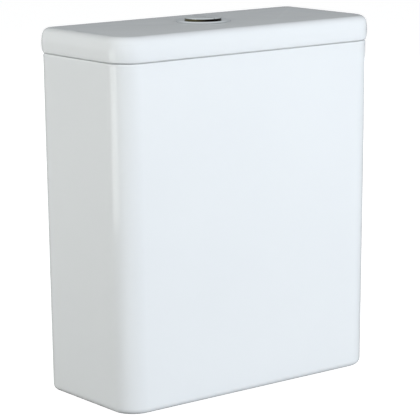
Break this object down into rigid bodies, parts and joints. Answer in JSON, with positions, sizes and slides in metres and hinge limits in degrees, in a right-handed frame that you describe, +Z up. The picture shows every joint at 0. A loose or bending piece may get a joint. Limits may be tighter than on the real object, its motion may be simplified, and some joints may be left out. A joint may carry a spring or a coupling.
{
  "type": "toilet cistern",
  "caption": "Upright close-coupled toilet cistern in white glazed china: drafted tank, lift-off lid, chrome dual-flush button, flush valve and float-operated fill valve inside.",
  "frame": {"origin": "on the axis of the flush outlet, at the plane of the tank's base", "axes": "+Z up; the front of the tank faces -Y, so its back faces +Y; +X is to the right seen from the front"},
  "size_m": [0.36, 0.159, 0.4747],
  "materials": {
    "china": "white vitreous china under a clear gloss glaze",
    "chrome": "polished chrome plate",
    "white_plastic": "moulded white plastic",
    "float_plastic": "moulded pale grey plastic",
    "blue_plastic": "moulded blue plastic",
    "red_plastic": "moulded red plastic",
    "black_rubber": "black moulded rubber",
    "red_silicone": "red silicone",
    "zinc_steel": "zinc-plated steel"
  },
  "bodies": {
    "cistern": {"tank": "china", "valve_base": "white_plastic", "floor_seal": "black_rubber", "outlet_backnut": "white_plastic", "pan_seal": "black_rubber", "valve_tower": "white_plastic", "actuator_bridge": "float_plastic", "rocker_pin": "zinc_steel", "fill_shank": "white_plastic", "inlet_seal": "black_rubber", "inlet_backnut": "white_plastic", "inlet_strainer": "blue_plastic", "fill_head": "white_plastic", "fill_diaphragm": "black_rubber", "fill_cap": "blue_plastic", "lever_pin": "zinc_steel", "silencer_tube": "white_plastic", "coupling_bolts": "zinc_steel", "bolt_seals": "black_rubber", "bolt_washers": "zinc_steel", "locknut_washers": "zinc_steel", "bolt_locknuts": "zinc_steel"},
    "lid": {"lid": "china", "button_bezel": "chrome", "button_gasket": "black_rubber", "button_nut": "white_plastic", "full_button_spring": "zinc_steel", "half_button_spring": "zinc_steel"},
    "full_button": {"full_flush_button": "chrome", "full_flush_rod": "white_plastic"},
    "half_button": {"half_flush_button": "chrome", "half_flush_rod": "blue_plastic"},
    "full_rocker": {"full_flush_rocker": "red_plastic"},
    "half_rocker": {"half_flush_rocker": "blue_plastic"},
    "flush_tube": {"overflow_tube": "white_plastic", "valve_seal": "red_silicone", "seal_guide": "white_plastic", "full_flush_float": "float_plastic", "lift_collar": "red_plastic"},
    "half_pull": {"half_flush_pull": "blue_plastic", "half_flush_float": "float_plastic"},
    "float": {"fill_float": "float_plastic", "float_link": "white_plastic"},
    "lever": {"fill_lever": "blue_plastic"}
  },
  "joints": [
    {"name": "lid_lift", "type": "slide", "parent": "cistern", "child": "lid", "axis": [0, 0, 1], "range_m": [0, 0.12]},
    {"name": "full_button_press", "type": "slide", "parent": "lid", "child": "full_button", "axis": [0, 0, -1], "range_m": [0, 0.0045], "stiffness_N_per_m": 250, "springref_m": -0.008, "deforming": ["full_button_spring"]},
    {"name": "half_button_press", "type": "slide", "parent": "lid", "child": "half_button", "axis": [0, 0, -1], "range_m": [0, 0.0045], "stiffness_N_per_m": 250, "springref_m": -0.008, "deforming": ["half_button_spring"]},
    {"name": "full_rocker_tip", "type": "hinge", "parent": "cistern", "child": "full_rocker", "pos_m": [0, -0.0055, 0.3], "axis": [0, 1, 0], "range_deg": [0, 31.1]},
    {"name": "half_rocker_tip", "type": "hinge", "parent": "cistern", "child": "half_rocker", "pos_m": [0, 0.0055, 0.3], "axis": [0, -1, 0], "range_deg": [0, 31.1]},
    {"name": "flush_tube_lift", "type": "slide", "parent": "cistern", "child": "flush_tube", "axis": [0, 0, 1], "range_m": [0, 0.0113]},
    {"name": "half_pull_lift", "type": "slide", "parent": "cistern", "child": "half_pull", "axis": [0, 0, 1], "range_m": [0, 0.0113]},
    {"name": "fill_float_rise", "type": "slide", "parent": "cistern", "child": "float", "axis": [0, 0, 1], "range_m": [0, 0.0104]},
    {"name": "fill_lever_tip", "type": "hinge", "parent": "cistern", "child": "lever", "pos_m": [0.1086, 0, 0.316], "axis": [0, 1, 0], "range_deg": [0, 20]}
  ],
  "couplings": [
    {"joint": "full_rocker_tip", "follows": "full_button_press", "rad_per_m": 120.6},
    {"joint": "flush_tube_lift", "follows": "full_button_press", "ratio": 2.5},
    {"joint": "half_rocker_tip", "follows": "half_button_press", "rad_per_m": 120.6},
    {"joint": "half_pull_lift", "follows": "half_button_press", "ratio": 2.5},
    {"joint": "fill_lever_tip", "follows": "fill_float_rise", "rad_per_m": 33.5}
  ]
}
